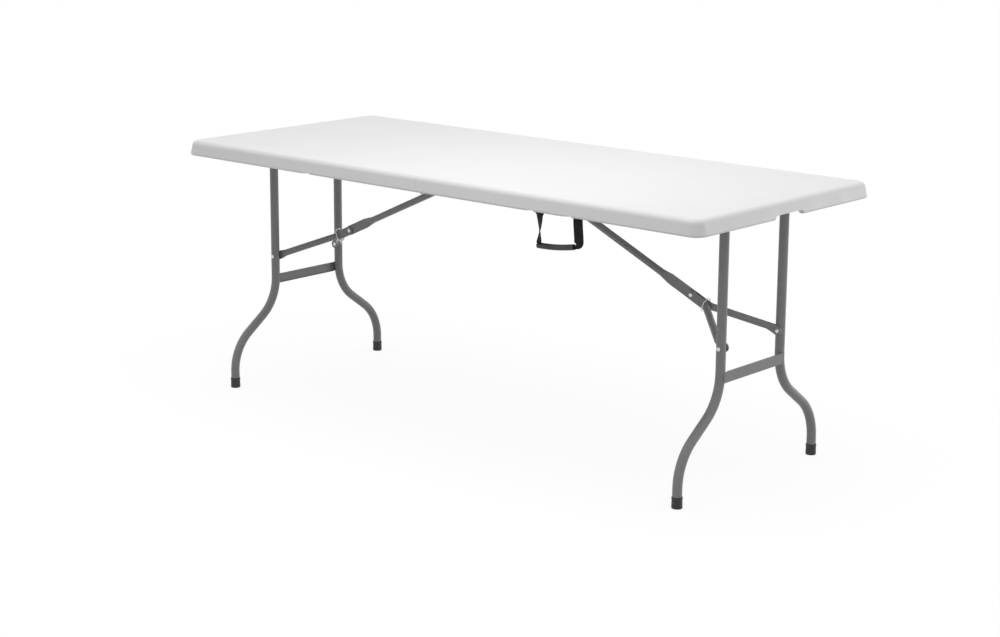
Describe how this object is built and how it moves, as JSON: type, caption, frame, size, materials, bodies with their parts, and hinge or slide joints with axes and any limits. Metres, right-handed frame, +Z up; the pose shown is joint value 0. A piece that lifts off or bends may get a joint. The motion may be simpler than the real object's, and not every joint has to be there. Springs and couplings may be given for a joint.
{
  "type": "folding buffet table",
  "caption": "Long folding buffet table: white blow-moulded halves that fold at the centre, grey bent-tube legs with toggle braces and lock rings, and a webbing carry handle.",
  "frame": {"origin": "on the floor under the middle of the open table", "axes": "+X along the table's length to the half with the carry handle, +Y to the back, away from the handle's edge, +Z up"},
  "size_m": [1.8276, 0.7596, 0.74],
  "materials": {
    "white_hdpe": "fine pebbled blow-moulded polyethylene",
    "grey_powder_coat": "satin grey powder coat on steel",
    "black_plastic": "moulded polypropylene",
    "zinc_steel": "bright zinc plate",
    "black_webbing": "woven polypropylene webbing",
    "black_sleeve": "soft grip sleeve"
  },
  "bodies": {
    "right_half": {"right_top": "white_hdpe", "right_rail_back": "grey_powder_coat", "right_rail_front": "grey_powder_coat", "right_tie_bar": "grey_powder_coat", "right_brace_bracket": "grey_powder_coat", "right_bracket_pin": "zinc_steel", "right_rail_screws": "zinc_steel", "right_hinge_plates": "grey_powder_coat", "right_hinge_rivets": "zinc_steel", "hinge_pins": "zinc_steel", "hinge_washers": "zinc_steel", "handle_strap_ends": "black_webbing", "handle_clamps": "zinc_steel", "handle_screws": "zinc_steel"},
    "left_half": {"left_top": "white_hdpe", "left_rail_back": "grey_powder_coat", "left_rail_front": "grey_powder_coat", "left_tie_bar": "grey_powder_coat", "left_brace_bracket": "grey_powder_coat", "left_bracket_pin": "zinc_steel", "left_rail_screws": "zinc_steel", "left_hinge_plates": "grey_powder_coat", "left_hinge_rivets": "zinc_steel"},
    "right_leg_frame": {"right_leg_back": "grey_powder_coat", "right_leg_front": "grey_powder_coat", "right_leg_pivot": "grey_powder_coat", "right_foot_back": "black_plastic", "right_foot_front": "black_plastic", "right_crossbar": "grey_powder_coat", "right_leg_rivets": "zinc_steel"},
    "right_rod": {"right_brace_rod": "grey_powder_coat"},
    "right_yoke": {"right_arm_back": "grey_powder_coat", "right_arm_front": "grey_powder_coat", "right_arm_rivets": "zinc_steel", "right_knee_rivet": "zinc_steel"},
    "right_ring": {"right_lock_ring": "zinc_steel"},
    "left_leg_frame": {"left_leg_back": "grey_powder_coat", "left_leg_front": "grey_powder_coat", "left_leg_pivot": "grey_powder_coat", "left_foot_back": "black_plastic", "left_foot_front": "black_plastic", "left_crossbar": "grey_powder_coat", "left_leg_rivets": "zinc_steel"},
    "left_rod": {"left_brace_rod": "grey_powder_coat"},
    "left_yoke": {"left_arm_back": "grey_powder_coat", "left_arm_front": "grey_powder_coat", "left_arm_rivets": "zinc_steel", "left_knee_rivet": "zinc_steel"},
    "left_ring": {"left_lock_ring": "zinc_steel"},
    "handle": {"handle_strap_left": "black_webbing", "handle_strap_right": "black_webbing", "handle_grip": "black_sleeve"}
  },
  "joints": [
    {"name": "centre_fold", "type": "hinge", "parent": "right_half", "child": "left_half", "pos_m": [0, 0, 0.695], "axis": [0, -1, 0], "range_deg": [0, 90]},
    {"name": "right_leg_fold", "type": "hinge", "parent": "right_half", "child": "right_leg_frame", "pos_m": [0.812, 0, 0.71], "axis": [0, 1, 0], "range_deg": [0, 90]},
    {"name": "right_rod_swing", "type": "hinge", "parent": "right_half", "child": "right_rod", "pos_m": [0.07, 0, 0.71], "axis": [0, -1, 0], "range_deg": [0, 24.49]},
    {"name": "right_knee", "type": "hinge", "parent": "right_rod", "child": "right_yoke", "pos_m": [0.62483, 0, 0.45726], "axis": [0, 1, 0], "range_deg": [0, 180]},
    {"name": "right_ring_slide", "type": "slide", "parent": "right_rod", "child": "right_ring", "axis": [-0.9162, 0, 0.4007], "range_m": [0, 0.49506]},
    {"name": "left_leg_fold", "type": "hinge", "parent": "left_half", "child": "left_leg_frame", "pos_m": [-0.812, 0, 0.71], "axis": [0, -1, 0], "range_deg": [0, 90]},
    {"name": "left_rod_swing", "type": "hinge", "parent": "left_half", "child": "left_rod", "pos_m": [-0.07, 0, 0.71], "axis": [0, 1, 0], "range_deg": [0, 24.49]},
    {"name": "left_knee", "type": "hinge", "parent": "left_rod", "child": "left_yoke", "pos_m": [-0.62483, 0, 0.45726], "axis": [0, -1, 0], "range_deg": [0, 180]},
    {"name": "left_ring_slide", "type": "slide", "parent": "left_rod", "child": "left_ring", "axis": [0.9162, 0, 0.4007], "range_m": [0, 0.49506]},
    {"name": "handle_swing", "type": "hinge", "parent": "right_half", "child": "handle", "pos_m": [0.4765, -0.36175, 0.694], "axis": [1, 0, 0], "range_deg": [-90, 80]}
  ],
  "couplings": [
    {"joint": "right_rod_swing", "follows": "right_leg_fold", "ratio": 0.27212},
    {"joint": "right_knee", "follows": "right_leg_fold", "ratio": 2},
    {"joint": "right_ring_slide", "follows": "right_leg_fold", "m_per_rad": 0.31516},
    {"joint": "left_rod_swing", "follows": "left_leg_fold", "ratio": 0.27212},
    {"joint": "left_knee", "follows": "left_leg_fold", "ratio": 2},
    {"joint": "left_ring_slide", "follows": "left_leg_fold", "m_per_rad": 0.31516}
  ]
}
